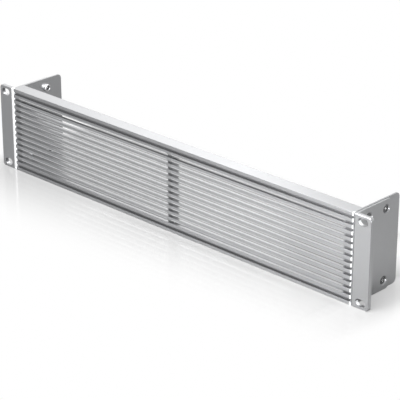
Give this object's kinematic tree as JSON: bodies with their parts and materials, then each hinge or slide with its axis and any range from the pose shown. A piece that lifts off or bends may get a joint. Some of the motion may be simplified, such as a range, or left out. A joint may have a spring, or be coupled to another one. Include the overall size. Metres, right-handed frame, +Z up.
{
  "type": "vented_blanking_panel",
  "caption": "Vented 19-inch 2U rack blanking panel: ribbed, slotted aluminium front with slotted ears, thin side plates and countersunk cross-head screws",
  "frame": {"origin": "Bottom centre of the bounding box: midway between the ears, midway between the ears' front faces and the side plates' rear edges, level with the panel's lower edge", "axes": "+X to the right seen from the front, along the panel; +Y backwards into the rack; +Z up"},
  "size_m": [0.4826, 0.0636, 0.0881],
  "materials": {
    "anodised_face": "fine bead-blasted, silver anodised, satin",
    "anodised_bracket": "fine bead-blasted, silver anodised, satin",
    "anodised_plate": "silver anodised sheet, satin",
    "brace_aluminium": "plain drawn bar, satin",
    "screw_steel": "bright zinc-plated steel",
    "nut_steel": "bright zinc-plated steel"
  },
  "bodies": {
    "root": {"centre_brace": "brace_aluminium", "grille_extrusion": "anodised_face", "left_ear_bracket": "anodised_bracket", "left_lower_front_bracket_screw": "screw_steel", "left_lower_front_clinch_nut": "nut_steel", "left_lower_port_screw": "screw_steel", "left_lower_rear_bracket_screw": "screw_steel", "left_lower_rear_clinch_nut": "nut_steel", "left_side_plate": "anodised_plate", "left_upper_front_bracket_screw": "screw_steel", "left_upper_front_clinch_nut": "nut_steel", "left_upper_port_screw": "screw_steel", "left_upper_rear_bracket_screw": "screw_steel", "left_upper_rear_clinch_nut": "nut_steel", "right_ear_bracket": "anodised_bracket", "right_lower_front_bracket_screw": "screw_steel", "right_lower_front_clinch_nut": "nut_steel", "right_lower_port_screw": "screw_steel", "right_lower_rear_bracket_screw": "screw_steel", "right_lower_rear_clinch_nut": "nut_steel", "right_side_plate": "anodised_plate", "right_upper_front_bracket_screw": "screw_steel", "right_upper_front_clinch_nut": "nut_steel", "right_upper_port_screw": "screw_steel", "right_upper_rear_bracket_screw": "screw_steel", "right_upper_rear_clinch_nut": "nut_steel"}
  },
  "joints": []
}
